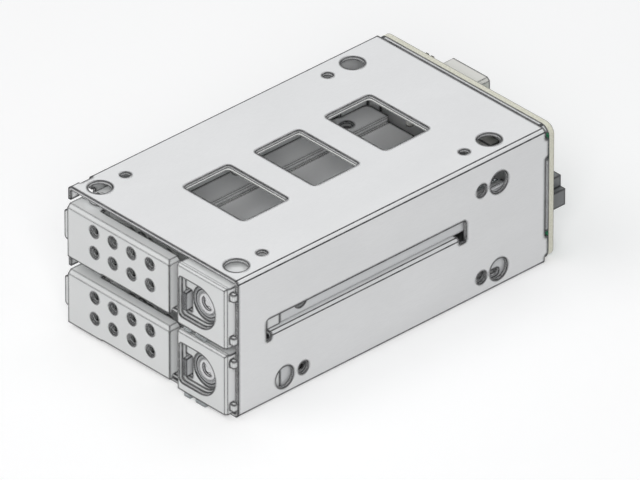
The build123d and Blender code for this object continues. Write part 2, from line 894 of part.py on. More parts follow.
def hinge_arm():
    """Arm above the lever that carries the pivot pin's head."""
    outline = Pos(pivot_x, pivot_y) * Circle(arm_radius)
    outline += rectangle(pivot_x - arm_radius, pivot_x + arm_radius, pivot_y, front_wall_rear)
    arm = plan(outline, arm_low, arm_top)
    y0 = front_wall_front_face
    arm += block(pivot_x - arm_radius, pivot_x + arm_radius, y0, front_wall_rear, front_top - 1, arm_top)
    return arm


def deck_outline():
    """Deck under the lever, rounded about the pivot so that the lever's end can pass."""
    y0 = front + deck_front
    y1 = front_wall_front_face + part_gap
    left = -tray_half
    turn = pivot_y - y0
    outline = rectangle(pivot_x, housing_left, y0, y1)
    outline += rectangle(left, pivot_x, pivot_y, y1)
    corner = Pos(pivot_x, pivot_y) * Circle(turn)
    return outline + (corner & rectangle(left, pivot_x, y0, pivot_y))


def make_tray_front():
    """Moulded tray front: wall, cheeks, deck, hinge arm and screw bosses."""
    y0 = front_wall_front_face
    body = block(-tray_half, tray_half, y0, front_wall_rear, tray_base, front_top)
    y1 = front_wall_rear + cheek_length
    body += both_sides(block(tray_half - rail_wall, tray_half, front_wall_rear - 1, y1, tray_base, front_top))
    body += plan(deck_outline(), tray_base, deck_top)
    body += hinge_arm()
    for x in front_screw_places():
        body += along_y(boss_radius, x, tray_base + screw_height, y0 - boss_length, y0 + 0.5)
    for x, z in vent_places():
        body -= along_y(1.6 * vent_radius, x, z, y0 - 1, front_wall_rear + 1)
    body -= housing_stakes(housing_stake_radius + fit_gap)
    for x in front_screw_places():
        height = tray_base + screw_height
        body -= along_y(screw_radius, x, height, pan_front - screw_length, front_wall_rear + 1)
    body -= upright(pin_radius, pivot_x, pivot_y, 0, bay_pitch)
    for x in (drive_pipe_x, fault_pipe_x):
        body -= pipe_groove(x)
    return body


def make_front_screws():
    """Two screws through the pan's flange into the moulded front's bosses."""
    screws = []
    for x in front_screw_places():
        z = tray_base + screw_height
        y = pan_front + pan_sheet
        shank = along_y(screw_radius, x, z, pan_front - screw_length + 0.3, y)
        head = along_y(screw_head_radius, x, z, y, y + screw_head)
        head = chamfer(head.edges().group_by(Axis.Y)[-1], screw_head / 3)
        head -= along_y(screw_head_radius / 3, x, z, y + screw_head / 2, y + 3)
        screws.append(shank + head)
    return screws


def make_pivot_pin():
    """Pin that the lever turns on, with its head on the hinge arm."""
    pin = upright(pin_radius, pivot_x, pivot_y, tray_base + 0.1, arm_top)
    head = upright(pin_head_radius, pivot_x, pivot_y, arm_top, arm_top + pin_head)
    head = chamfer(head.edges().group_by(Axis.Z)[-1], pin_head / 3)
    head -= block(pivot_x - 3, pivot_x + 3, pivot_y - 0.3, pivot_y + 0.3, arm_top + pin_head / 2, arm_top + 3)
    return pin + head


def lever_outline():
    """Lever seen from above: a long grip and a knuckle round the pivot."""
    grip = rectangle(lever_left, lever_right, lever_front, lever_back)
    left = rectangle(lever_left, pivot_x + knuckle_radius, lever_front, lever_front + knuckle_back)
    return grip + left + Pos(pivot_x, pivot_y) * Circle(knuckle_radius)


def lever_foot():
    """Foot that points at the left wall and pries the tray out as the lever opens."""
    z0 = lever_low + foot_margin
    z1 = lever_top - foot_margin
    bar = rectangle(pivot_x - foot_radius, pivot_x, pivot_y - foot_width / 2, pivot_y + foot_width / 2)
    bar = fillet(bar.vertices().group_by(Axis.X)[0], foot_width / 3)
    return plan(bar, z0, z1)


def lever_ear():
    """Flat ear at the lever's left end, in front of the wall."""
    outline = rectangle(lever_left - ear_reach, lever_left + 1, tray_base + ear_low, tray_base + ear_high)
    outline = fillet(outline.vertices().group_by(Axis.X)[0], ear_corner)
    y0 = front - ear_front
    return profile_y(outline, y0, y0 + ear_thickness)


def make_lever():
    """Grip lever: a ribbed shell with vent holes, a hinge barrel, an ear and a prying foot."""
    body = plan(lever_outline(), deck_top + part_gap, lever_top)
    front_edge = body.faces().sort_by(Axis.Y)[0].edges().group_by(Axis.Z)[-1]
    right_edge = body.faces().sort_by(Axis.X)[-1].edges().group_by(Axis.Z)[-1]
    body = chamfer(front_edge + right_edge, lever_chamfer)
    low = deck_top + part_gap + lever_wall
    top = lever_top - lever_wall
    inside = rectangle(lever_left - 1, lever_right - lever_wall, lever_inner, front_wall_rear)
    body -= plan(inside, low, top)
    body += block(lever_left, lever_right, lever_front, lever_inner, lever_low, low)
    lip_right = lever_left + lever_lip_length
    body += block(lever_left, lip_right, lever_front, lever_inner, lever_low - lever_lip, lever_low)
    barrel = Pos(pivot_x, pivot_y) * Circle(barrel_radius)
    web = rectangle(pivot_x - rib_thickness, pivot_x + 2 * rib_thickness, lever_inner - 0.5, pivot_y)
    body += plan(barrel + web, low - 0.5, top + 0.5)
    body += lever_foot()
    body += lever_ear()
    for n in range(vent_columns + 1):
        x = lever_left + vent_first + vent_pitch * (n - 0.5)
        body += block(x, x + rib_thickness, lever_inner - 0.5, lever_back - 0.5, low - 0.5, top + 0.5)
    tongue_z = tray_base + tongue_low
    tongue = rectangle(lever_right - lever_wall, lever_right, lever_back - 0.5, lever_back + tongue_reach)
    tongue = chamfer(tongue.vertices().group_by(Axis.Y)[-1].sort_by(Axis.X)[-1], lever_wall / 2)
    body += plan(tongue, tongue_z, tongue_z + tongue_height)
    for x, z in vent_places():
        body -= along_y(vent_radius, x, z, lever_front - 1, lever_inner + 0.2)
        body -= along_y(vent_counterbore_radius, x, z, lever_front - 1, lever_front + vent_counterbore)
    return body - upright(pin_radius + fit_gap, pivot_x, pivot_y, 0, bay_pitch)


def wedge_line(y, gap=0.0):
    """X of the button's 45 degree wedge face at a given Y."""
    start_x = lock_x + button_radius + wedge_reach
    return start_x - (y - front - catch_front + wedge_lead) + gap


def make_release_button():
    """Round push button with a grooved face, two retaining lugs and a wedge for the catch."""
    y0 = -button_face
    y1 = button_rear
    bevel = button_chamfer
    bore = core_radius + fit_gap
    stem = core_stem_radius + fit_gap
    shoulder = core_shoulder + fit_gap
    half_groove = button_groove / 2
    half = flat(
        (bore, y0 + bevel), (bore + bevel, y0), (button_ring - half_groove, y0),
        (button_ring, y0 + button_groove), (button_ring + half_groove, y0),
        (button_radius - bevel, y0), (button_radius, y0 + bevel), (button_radius, y1),
        (stem, y1), (stem, shoulder), (bore, shoulder))
    body = Pos(lock_x, front, lock_z) * revolve(half, Axis.Y)
    y0 = pocket_floor_rear + 2 * fit_gap
    half_lug = button_lug_width / 2
    reach = button_radius + button_lug
    ring = along_y(reach, lock_x, lock_z, y0, y0 + 1)
    ring -= along_y(button_radius - 0.5, lock_x, lock_z, y0 - 1, y0 + 2)
    body += ring & block(lock_x - half_lug, lock_x + half_lug, y0, y0 + 1, 0, bay_pitch)
    wy0 = front + catch_front - wedge_lead
    inner = lock_x + button_radius - 0.4
    wy1 = wy0 + wedge_reach
    wedge = flat((inner, wy0), (wedge_line(wy0), wy0), (wedge_line(wy1), wy1), (inner, wy1))
    return body + plan(wedge, lock_z - wedge_height / 2, lock_z + wedge_height / 2)


def make_lock_core():
    """Rotary lock core inside the button, with a curved slot in its face and a tang behind."""
    y0 = -button_face
    y1 = button_rear + fit_gap
    bevel = button_chamfer
    half = flat(
        (0, y0), (core_radius - bevel, y0), (core_radius, y0 + bevel), (core_radius, core_shoulder),
        (core_stem_radius, core_shoulder), (core_stem_radius, y1), (0, y1))
    body = revolve(half, Axis.Y)
    tang = Pos(0, y1 + tang_thickness / 2, 0) * Box(tang_width, tang_thickness, tang_length)
    body += chamfer(tang.edges().filter_by(Axis.Y), 0.5)
    arc = Circle(core_slot_radius + core_slot_width / 2) - Circle(core_slot_radius - core_slot_width / 2)
    arc &= Rot(0, 0, core_slot_turn) * rectangle(-core_radius, 0, -core_radius, core_radius)
    arc = Pos(core_slot_shift, core_slot_shift) * arc
    body -= profile_y(arc, y0 - 1, y0 + core_slot_depth)
    return Pos(lock_x, front, lock_z) * body


def make_lever_catch():
    """Sliding catch: a frame round the button with a nose, a thumb tab and a ramp."""
    y0 = front + catch_front
    y1 = y0 + catch_thickness
    low = tray_base + catch_nose_low
    high = low + catch_nose_height
    bar_low = lock_z - button_radius - button_lug - part_gap
    bar_high = lock_z + button_radius + button_lug + part_gap
    post_left = cavity_left + fit_gap
    post_right = lock_x - button_radius - button_travel - part_gap / 2
    right = cavity_right - button_travel - part_gap / 2
    frame = block(post_left, right, y0, y1, bar_low - catch_bar, bar_high + catch_bar)
    inner_right = lock_x + button_radius + part_gap / 2
    inner_edge = right - catch_bar
    frame -= block(post_right, inner_edge, y0 - 1, y1 + 1, bar_low, bar_high)
    ramp_y0 = y0 - wedge_lead
    ramp_y1 = y1 + ramp_tail
    ramp_x = wedge_line(ramp_y0, 2 * fit_gap)
    ramp = flat(
        (inner_edge + catch_bar / 2, ramp_y0), (ramp_x, ramp_y0), (inner_right, ramp_y0 + ramp_x - inner_right),
        (inner_right, ramp_y1), (inner_edge + catch_bar / 2, ramp_y1))
    frame += plan(ramp, lock_z - wedge_height / 2, lock_z + wedge_height / 2)
    frame += block(lever_right + part_gap, post_left + 0.5, y0, y1, low, high)
    thumb_front = y0 - thumb_reach
    thumb = flat((thumb_front, low), (y0 + 0.5, low), (y0 + 0.5, high + thumb_slope),
                 (y0 - thumb_slope, high + thumb_slope), (thumb_front, high))
    frame += profile_x(thumb, post_left, post_left + thumb_thickness)
    tab_x = lock_x + 1
    frame += block(tab_x, tab_x + 1, y0, y1, bar_high, cavity_top - part_gap)
    return frame


def make_button_spring():
    """Compression spring between the button's rear face and the latch cover."""
    length = cover_front - button_rear - 2 * spring_flat
    spring = coil(button_spring_radius, button_spring_wire, length, button_spring_turns)
    start = front + button_rear + spring_flat
    return Pos(lock_x, start, lock_z) * Rot(-90, 0, 0) * spring


def make_catch_spring():
    """Small compression spring between the catch's tab and the housing's right wall."""
    start = lock_x + 2 + spring_flat
    length = cavity_right - start - spring_flat
    z = cavity_top - catch_spring_radius - catch_spring_wire - fit_gap
    y = front + catch_front + catch_thickness / 2
    spring = coil(catch_spring_radius, catch_spring_wire, length, catch_spring_turns)
    return Pos(start, y, z) * Rot(0, 90, 0) * spring


def make_latch_cover():
    """Cover that closes the housing from behind and centres the button spring."""
    low = pan_top + pipe_lift + pipe_size + 4 * fit_gap
    y0 = front + cover_front
    outline = rectangle(cavity_left + fit_gap, cavity_right - fit_gap, low, cavity_top - fit_gap)
    cover = profile_y(outline, y0, y0 + cover_thickness)
    boss = along_y(cover_boss_radius, lock_x, lock_z, y0 - cover_boss_length, y0 + 0.5)
    return cover + chamfer(boss.edges().group_by(Axis.Y)[0], 0.3)


def make_light_pipe(x, nose_to_left, nose_width):
    """Clear rod along the pan to the board, with a nose under the housing."""
    z0 = pan_top + pipe_lift
    half = pipe_size / 2
    y0 = front - nose_front + 0.8
    path = flat((y0, nose_clear), (y0 + pipe_size, nose_clear), (y0 + pipe_size, z0),
                (pan_end - pipe_rear_gap, z0), (pan_end - pipe_rear_gap, z0 + pipe_size),
                (y0 + pipe_size / 2, z0 + pipe_size), (y0, z0 + pipe_size / 2))
    rod = profile_x(path, x - half, x + half)
    nose_left = x - nose_to_left
    nose = block(nose_left, nose_left + nose_width, front - nose_front, front - nose_rear,
                 nose_clear, housing_low - nose_clear)
    nose = fillet(nose.edges().filter_by(Axis.Z).group_by(Axis.Y)[0], 0.4)
    return rod + nose


def bay_parts():
    """All parts that each bay has, in the lower bay's place, by name."""
    right_rail = make_right_rail()
    parts = {
        "tray_pan": make_tray_pan(),
        "right_rail": right_rail,
        "left_rail": mirror(right_rail, Plane.YZ),
        "rail_rivets": [rail_rivet(x, y) for x, y in rail_rivet_centres()],
        "tray_front": make_tray_front(),
        "latch_housing": make_latch_housing(),
        "front_screws": make_front_screws(),
        "pivot_pin": make_pivot_pin(),
        "latch_cover": make_latch_cover(),
        "drive_light_pipe": make_light_pipe(drive_pipe_x, drive_nose_left, drive_nose_width),
        "fault_light_pipe": make_light_pipe(fault_pipe_x, fault_nose_left, fault_nose_width),
        "lever": make_lever(),
        "release_button": make_release_button(),
        "button_spring": make_button_spring(),
        "lock_core": make_lock_core(),
        "lever_catch": make_lever_catch(),
        "catch_spring": make_catch_spring(),
        "receptacle": make_receptacle(),
    }
    return parts


def cage_parts():
    """All parts of the fixed cage, by name."""
    bracket = make_rear_bracket()
    for lift in bays.values():
        bracket -= profile_y(rectangle(*led_window(lift)), rear - 1, bracket_rear + 1)
    return {
        "cage_shell": make_cage_shell(),
        "cage_floor": make_cage_floor(),
        "floor_rivets": make_floor_rivets(),
        "insulation_film": make_insulation_film(),
        "rear_bracket": bracket,
        "backplane_board": make_backplane_board(),
        "board_screws": make_board_screws(),
        "power_connector": make_power_connector(),
        "power_pins": make_power_pins(),
        "data_connector": make_data_connector(),
        "data_tongue": make_data_tongue(),
        "board_capacitors": make_board_capacitors(),
        "status_leds": make_status_leds(),
    }


def save(name, part, lift=0.0):
    """Write one named part, or a group of separate solids, to its STEP file."""
    pieces = part if isinstance(part, list) else [part]
    solids = [solid for piece in pieces for solid in piece.solids()]
    shape = solids[0] if len(solids) == 1 else Compound(children=solids)
    export_step(Pos(0, 0, lift) * shape, f"parts/{name}.step")


os.makedirs("parts", exist_ok=True)
for name, part in cage_parts().items():
    save(name, part)
repeated = bay_parts()
for bay, lift in bays.items():
    for name, part in repeated.items():
        save(f"{bay}_{name}", part, lift)
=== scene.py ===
import json
import math

import bpy
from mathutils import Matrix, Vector


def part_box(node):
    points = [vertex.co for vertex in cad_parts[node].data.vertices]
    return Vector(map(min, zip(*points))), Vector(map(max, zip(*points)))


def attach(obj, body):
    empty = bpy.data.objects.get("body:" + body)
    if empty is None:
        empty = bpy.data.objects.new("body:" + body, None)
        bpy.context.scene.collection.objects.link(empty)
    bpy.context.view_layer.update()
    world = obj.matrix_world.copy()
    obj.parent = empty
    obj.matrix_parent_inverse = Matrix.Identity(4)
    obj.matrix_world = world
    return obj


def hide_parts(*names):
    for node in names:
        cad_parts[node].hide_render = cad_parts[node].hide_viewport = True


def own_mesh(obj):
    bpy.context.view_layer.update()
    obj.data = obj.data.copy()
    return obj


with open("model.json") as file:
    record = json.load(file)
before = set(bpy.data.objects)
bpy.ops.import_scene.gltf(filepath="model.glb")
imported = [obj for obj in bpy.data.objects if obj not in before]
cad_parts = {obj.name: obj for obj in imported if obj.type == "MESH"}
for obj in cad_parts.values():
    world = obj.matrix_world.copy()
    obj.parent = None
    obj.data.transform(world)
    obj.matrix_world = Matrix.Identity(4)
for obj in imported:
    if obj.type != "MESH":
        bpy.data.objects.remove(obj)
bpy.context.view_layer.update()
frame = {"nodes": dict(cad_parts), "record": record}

MM = 0.001
BAYS = ("lower", "upper")

# Painted shade lines along edges and inner corners: how far the rounded normal turns from the face before a
# line starts, and where it is full; the line colour is painted shade
LINE_STARTS = 0.992
LINE_FULL = 0.93
SHADE_LINE_COLOUR = (0.02, 0.02, 0.022)

nodes = frame["nodes"]
scene = bpy.context.scene
scene.view_settings.view_transform = "Standard"


# Camera, floor and light

def add_camera():
    """Long lens from the front right and above, which stands in for a parallel view."""
    azimuth = math.radians(46.898)
    lift = math.radians(32.243)
    back = Vector((math.sin(azimuth) * math.cos(lift), -math.cos(azimuth) * math.cos(lift), math.sin(lift)))
    data = bpy.data.cameras.new("camera")
    data.lens = 1000.0
    data.sensor_width = 36.0
    picture_width = 201.07 * MM
    distance = picture_width * data.lens / data.sensor_width
    data.clip_start = 0.1
    data.clip_end = 50.0
    camera = bpy.data.objects.new("camera", data)
    target = Vector((3.77, 1.83, 20.44)) * MM
    camera.location = target + back * distance
    camera.rotation_euler = back.to_track_quat("Z", "Y").to_euler()
    scene.collection.objects.link(camera)
    scene.camera = camera


def add_lamp(name, place, size, watts, tint):
    """Square soft lamp that points at the middle of the cage."""
    data = bpy.data.lights.new(name, "AREA")
    data.shape = "SQUARE"
    data.size = size
    data.energy = watts
    data.color = tint
    lamp = bpy.data.objects.new(name, data)
    lamp.location = place
    aim = Vector(place) - Vector((0, 0, 0.02))
    lamp.rotation_euler = aim.to_track_quat("Z", "Y").to_euler()
    scene.collection.objects.link(lamp)


def seen_directly(tree):
    """1 for rays that show the background: straight on, in a reflection or through something clear."""
    path = tree.nodes.new("ShaderNodeLightPath")
    seen = path.outputs["Is Camera Ray"]
    for kind in ("Is Glossy Ray", "Is Transmission Ray"):
        either = tree.nodes.new("ShaderNodeMath")
        either.operation = "MAXIMUM"
        tree.links.new(seen, either.inputs[0])
        tree.links.new(path.outputs[kind], either.inputs[1])
        seen = either.outputs[0]
    return seen


def add_world():
    """Even studio light, plain white where it is seen."""
    world = bpy.data.worlds.new("studio")
    scene.world = world
    world.use_nodes = True
    tree = world.node_tree
    tree.nodes.clear()
    output = tree.nodes.new("ShaderNodeOutputWorld")
    soft = tree.nodes.new("ShaderNodeBackground")
    soft.inputs["Color"].default_value = (0.97, 0.98, 1.0, 1)
    soft.inputs["Strength"].default_value = 0.34
    seen = tree.nodes.new("ShaderNodeBackground")
    seen.inputs["Strength"].default_value = 1.0
    seen.inputs["Color"].default_value = (1, 1, 1, 1)
    mix = tree.nodes.new("ShaderNodeMixShader")
    tree.links.new(seen_directly(tree), mix.inputs["Fac"])
    tree.links.new(soft.outputs[0], mix.inputs[1])
    tree.links.new(seen.outputs[0], mix.inputs[2])
    tree.links.new(mix.outputs[0], output.inputs["Surface"])


def add_floor():
    """Pale floor that keeps the cage's shadow."""
    mesh = bpy.data.meshes.new("floor")
    half = 4.0
    low = -0.02 * MM
    corners = [(-half, -half, low), (half, -half, low), (half, half, low), (-half, half, low)]
    mesh.from_pydata(corners, [], [(0, 1, 2, 3)])
    floor = bpy.data.objects.new("floor", mesh)
    scene.collection.objects.link(floor)
    material = bpy.data.materials.new("floor")
    material.use_nodes = True
    tree = material.node_tree
    tree.nodes.clear()
    output = tree.nodes.new("ShaderNodeOutputMaterial")
    paint = tree.nodes.new("ShaderNodeBsdfDiffuse")
    paint.inputs["Color"].default_value = (0.82, 0.82, 0.82, 1)
    glow = tree.nodes.new("ShaderNodeEmission")
    lift = tree.nodes.new("ShaderNodeMath")
    lift.operation = "MULTIPLY"
    lift.inputs[1].default_value = 0.30
    add = tree.nodes.new("ShaderNodeAddShader")
    tree.links.new(seen_directly(tree), lift.inputs[0])
    tree.links.new(lift.outputs[0], glow.inputs["Strength"])
    tree.links.new(paint.outputs[0], add.inputs[0])
    tree.links.new(glow.outputs[0], add.inputs[1])
    tree.links.new(add.outputs[0], output.inputs["Surface"])
    mesh.materials.append(material)


# Finishes

class Finish:
    """A material whose colour, roughness and relief come from nodes on Object coordinates."""

    def __init__(self, name, rounding, line, metallic=0.0, shade_line_depth=0.9):
        self.material = bpy.data.materials.new(name)
        self.material.use_nodes = True
        self.tree = self.material.node_tree
        self.shader = self.tree.nodes["Principled BSDF"]
        self.shader.inputs["Metallic"].default_value = metallic
        coordinates = self.tree.nodes.new("ShaderNodeTexCoord")
        self.place = coordinates.outputs["Object"]
        self.facing = coordinates.outputs["Normal"]
        self.normal = self.rounded(rounding)
        self.line = line
        self.shade_line_depth = shade_line_depth

    def add(self, kind, **values):
        """New node with its properties and unlinked inputs set by name."""
        node = self.tree.nodes.new(kind)
        for key, value in values.items():
            if key in node.inputs:
                node.inputs[key].default_value = value
            else:
                setattr(node, key, value)
        return node

    def link(self, source, target):
        self.tree.links.new(source, target)

    def rounded(self, millimetres):
        """Normals that catch the light along edges, as small radii do."""
        bevel = self.tree.nodes.new("ShaderNodeBevel")
        bevel.samples = 8
        bevel.inputs["Radius"].default_value = millimetres * MM
        return bevel.outputs["Normal"]

    def edges(self):
        """How near a surface point is to an edge or an inner corner, from 0 to 1, which is where lines of
        painted shade go.
        """
        geometry = self.add("ShaderNodeNewGeometry")
        dot = self.add("ShaderNodeVectorMath", operation="DOT_PRODUCT")
        self.link(self.rounded(self.line), dot.inputs[0])
        self.link(geometry.outputs["Normal"], dot.inputs[1])
        ramp = self.add("ShaderNodeMapRange", clamp=True)
        ramp.inputs["From Min"].default_value = LINE_STARTS
        ramp.inputs["From Max"].default_value = LINE_FULL
        self.link(dot.outputs["Value"], ramp.inputs["Value"])
        return ramp.outputs["Result"]

    def component(self, axis):
        """How squarely the surface faces along an axis, from 0 to 1, either way."""
        split = self.add("ShaderNodeSeparateXYZ")
        self.link(self.facing, split.inputs[0])
        size = self.add("ShaderNodeMath", operation="ABSOLUTE")
        self.link(split.outputs[axis], size.inputs[0])
        return size.outputs[0]

    def step(self, value, threshold, operation="GREATER_THAN"):
        """1 where a value passes a threshold, otherwise 0."""
        test = self.add("ShaderNodeMath", operation=operation)
        test.inputs[1].default_value = threshold
        self.link(value, test.inputs[0])
        return test.outputs[0]

    def multiply(self, first, second):
        """Product of two values, so that both must hold."""
        product = self.add("ShaderNodeMath", operation="MULTIPLY")
        self.link(first, product.inputs[0])
        self.link(second, product.inputs[1])
        return product.outputs[0]

    def fold_shade_lines(self):
        """1 along both tangent lines of the sheet's lengthwise folds, where lines of painted shade go."""
        across = self.component("X")
        up = self.component("Z")
        larger = self.add("ShaderNodeMath", operation="MAXIMUM")
        self.link(across, larger.inputs[0])
        self.link(up, larger.inputs[1])
        smaller = self.add("ShaderNodeMath", operation="MINIMUM")
        self.link(across, smaller.inputs[0])
        self.link(up, smaller.inputs[1])
        started = self.step(smaller.outputs[0], 0.02)
        nearly_flat = self.step(larger.outputs[0], 0.93)
        lengthwise = self.step(self.component("Y"), 0.02, "LESS_THAN")
        return self.multiply(self.multiply(started, nearly_flat), lengthwise)

    def noise(self, per_mm, stretch=(1, 1, 1), detail=3.0, roughness=0.5):
        """Noise with that many features per millimetre, stretched along the axes."""
        mapping = self.add("ShaderNodeMapping")
        mapping.inputs["Scale"].default_value = [per_mm / MM / s for s in stretch]
        self.link(self.place, mapping.inputs["Vector"])
        noise = self.add("ShaderNodeTexNoise", Scale=1.0, Detail=detail, Roughness=roughness)
        self.link(mapping.outputs["Vector"], noise.inputs["Vector"])
        return noise.outputs["Fac"]

    def between(self, value, low, high, start=0.3, end=0.7):
        """Value spread between two numbers."""
        spread = self.add("ShaderNodeMapRange", clamp=True)
        spread.inputs["From Min"].default_value = start
        spread.inputs["From Max"].default_value = end
        spread.inputs["To Min"].default_value = low
        spread.inputs["To Max"].default_value = high
        self.link(value, spread.inputs["Value"])
        return spread.outputs["Result"]

    def blend(self, value, first, second):
        """Colour between two colours or sockets."""
        mix = self.add("ShaderNodeMix", data_type="RGBA")
        self.link(value, mix.inputs["Factor"])
        for socket, colour in ((mix.inputs[6], first), (mix.inputs[7], second)):
            if isinstance(colour, tuple):
                socket.default_value = (*colour, 1.0)
            else:
                self.link(colour, socket)
        return mix.outputs[2]

    def colour(self, socket, more_shade_lines=None):
        """Sets the base colour, darkened along edges, inner corners and any extra lines by near-black lines
        of painted shade, so that edges read as dark lines.
        """
        patches = self.noise(0.35, detail=4.0)
        lines = self.edges()
        if more_shade_lines is not None:
            either = self.add("ShaderNodeMath", operation="MAXIMUM")
            self.link(lines, either.inputs[0])
            self.link(more_shade_lines, either.inputs[1])
            lines = either.outputs[0]
        depth = self.between(patches, 0.88 * self.shade_line_depth, self.shade_line_depth, 0.35, 0.65)
        # Painted shade: near-black lines blended over the base colour, with a depth that varies a little at
        # random
        socket = self.blend(self.multiply(lines, depth), socket, SHADE_LINE_COLOUR)
        self.link(socket, self.shader.inputs["Base Color"])

    def roughness(self, socket):
        self.link(socket, self.shader.inputs["Roughness"])

    def relief(self, height, millimetres):
        """Bump of that depth on top of the rounded normals."""
        bump = self.add("ShaderNodeBump", Strength=1.0, Distance=millimetres * MM)
        self.link(height, bump.inputs["Height"])
        self.link(self.normal, bump.inputs["Normal"])
        self.link(bump.outputs["Normal"], self.shader.inputs["Normal"])


def zinc_sheet(name, base, metallic, folds):
    """Pale zinc-plated sheet: fine rolled grain and faint clouds."""
    finish = Finish(name, rounding=0.18, line=1.9, metallic=metallic, shade_line_depth=1.0)
    grain = finish.noise(5.5, stretch=(1, 14, 1), detail=4.0, roughness=0.6)
    clouds = finish.noise(0.06, stretch=(1, 2, 1), detail=3.0)
    dull = tuple(channel * 0.95 for channel in base)
    tone = finish.blend(finish.between(clouds, 0.0, 1.0), dull, base)
    streak = finish.blend(finish.between(grain, 0.0, 0.35), tone, tuple(channel * 0.86 for channel in base))
    # Cage sheet gets painted shade lines at its folds as well; the pan sheet does not
    finish.colour(streak, finish.fold_shade_lines() if folds else None)
    haze = finish.add("ShaderNodeMath", operation="ADD")
    finish.link(finish.between(grain, 0.0, 0.07), haze.inputs[0])
    finish.link(finish.between(clouds, 0.62, 0.74), haze.inputs[1])
    finish.roughness(haze.outputs[0])
    finish.shader.inputs["Specular IOR Level"].default_value = 0.3
    finish.relief(grain, 0.006)
    return finish.material


def plated_steel(name, base, roughness):
    """Small turned or headed steel parts."""
    finish = Finish(name, rounding=0.10, line=0.5, metallic=0.9, shade_line_depth=0.85)
    marks = finish.noise(3.0, detail=5.0)
    finish.colour(finish.blend(finish.between(marks, 0.0, 1.0), base, tuple(c * 0.82 for c in base)))
    finish.roughness(finish.between(marks, roughness - 0.06, roughness + 0.08))
    finish.relief(marks, 0.004)
    return finish.material


def moulded(name, base, roughness=0.5):
    """Moulded plastic with a fine spark-eroded skin and a slightly uneven tone."""
    finish = Finish(name, rounding=0.2, line=1.35, shade_line_depth=1.0)
    clouds = finish.noise(0.05, detail=2.0)
    skin = finish.noise(7.0, detail=2.0, roughness=0.7)
    tone = finish.blend(finish.between(clouds, 0.0, 1.0), tuple(c * 0.96 for c in base), base)
    speck = finish.blend(finish.between(skin, 0.0, 0.22), tone, tuple(c * 0.80 for c in base))
    finish.colour(speck)
    finish.roughness(finish.between(skin, roughness - 0.05, roughness + 0.06))
    finish.relief(skin, 0.012)
    finish.shader.inputs["Specular IOR Level"].default_value = 0.45
    return finish.material


def solder_mask(name, base):
    """Green mask over copper runs that show through as slightly paler lines, with bare laminate edges."""
    finish = Finish(name, rounding=0.08, line=0.5)
    mapping = finish.add("ShaderNodeMapping")
    mapping.inputs["Scale"].default_value = (380, 380, 380)
    finish.link(finish.place, mapping.inputs["Vector"])
    runs = finish.add("ShaderNodeTexBrick", Scale=1.0)
    runs.inputs["Mortar Size"].default_value = 0.16
    runs.inputs["Brick Width"].default_value = 9.0
    runs.inputs["Row Height"].default_value = 1.0
    swap = finish.add("ShaderNodeSeparateXYZ")
    join = finish.add("ShaderNodeCombineXYZ")
    finish.link(mapping.outputs["Vector"], swap.inputs[0])
    finish.link(swap.outputs["X"], join.inputs["X"])
    finish.link(swap.outputs["Z"], join.inputs["Y"])
    finish.link(join.outputs[0], runs.inputs["Vector"])
    copper = finish.blend(runs.outputs["Fac"], base, tuple(min(1.0, c * 1.35) for c in base))
    weave = finish.noise(2.0, detail=2.0)
    mask = finish.blend(finish.between(weave, 0.0, 0.25), copper, tuple(c * 0.7 for c in base))
    laminate = finish.blend(finish.between(weave, 0.0, 1.0), (0.70, 0.69, 0.56), (0.80, 0.79, 0.68))
    finish.colour(finish.blend(finish.step(finish.component("Y"), 0.5), laminate, mask))
    finish.roughness(finish.between(weave, 0.22, 0.32))
    finish.relief(runs.outputs["Fac"], 0.02)
    return finish.material


def clear_moulding(name):
    """Clear light-guiding plastic with a faint cool tint and fine flow lines."""
    finish = Finish(name, rounding=0.15, line=0.45, shade_line_depth=0.9)
    flow = finish.noise(0.8, stretch=(1, 9, 1), detail=2.0)
    finish.colour(finish.blend(finish.between(flow, 0.0, 1.0), (0.86, 0.92, 0.94), (0.93, 0.96, 0.97)))
    finish.roughness(finish.between(flow, 0.06, 0.14))
    finish.relief(flow, 0.006)
    finish.shader.inputs["Transmission Weight"].default_value = 0.75
    finish.shader.inputs["IOR"].default_value = 1.49
    return finish.material


def film_sheet(name):
    """Thin milky polyester film with a satin face."""
    finish = Finish(name, rounding=0.05, line=0.5)
    haze = finish.noise(0.15, detail=3.0)
    fine = finish.noise(9.0, detail=1.0)
    finish.colour(finish.blend(finish.between(haze, 0.0, 1.0), (0.74, 0.75, 0.74), (0.82, 0.83, 0.82)))
    finish.roughness(finish.between(haze, 0.34, 0.46))
    finish.relief(fine, 0.003)
    return finish.material


